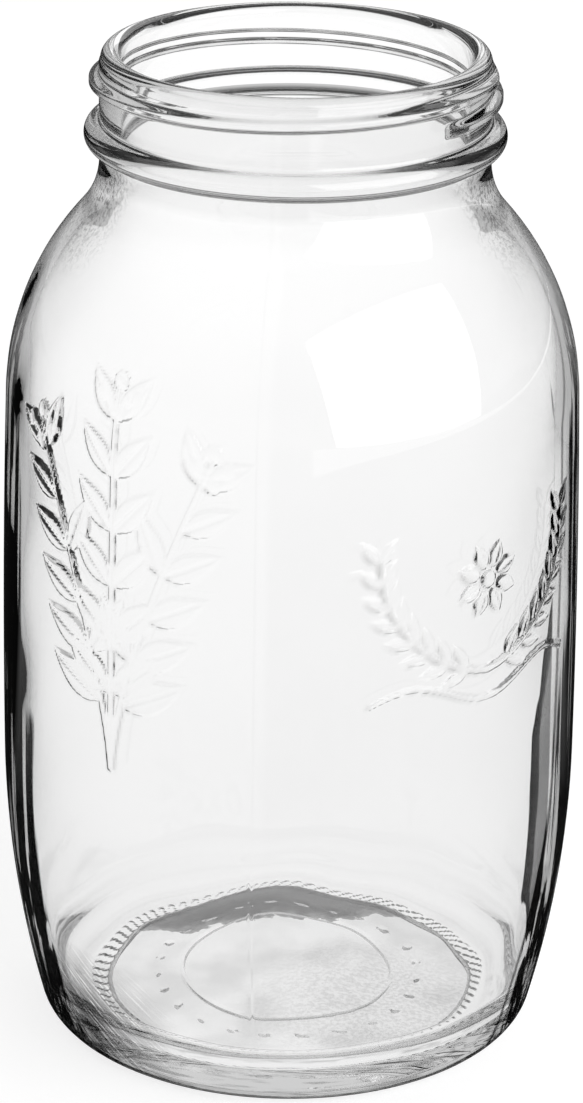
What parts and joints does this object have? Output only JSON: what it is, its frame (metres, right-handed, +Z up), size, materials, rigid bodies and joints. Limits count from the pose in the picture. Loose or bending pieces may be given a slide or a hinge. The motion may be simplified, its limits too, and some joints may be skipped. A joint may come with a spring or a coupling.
{
  "type": "glass preserving jar",
  "caption": "Wide-mouth clear glass preserving jar with screw-thread neck, rounded transfer bead, round shoulder, slightly barrelled body and push-up base, shown without its lid.",
  "frame": {"origin": "centre of the standing ring, on the surface the jar stands on", "axes": "+Z up along the jar's axis and out of the mouth; -Y towards the front; +X is the zero of the thread's angles"},
  "size_m": [0.12, 0.12, 0.21],
  "materials": {
    "clear_glass": "clear, smooth, fire-polished"
  },
  "bodies": {
    "root": {"jar": "clear_glass"}
  },
  "joints": []
}
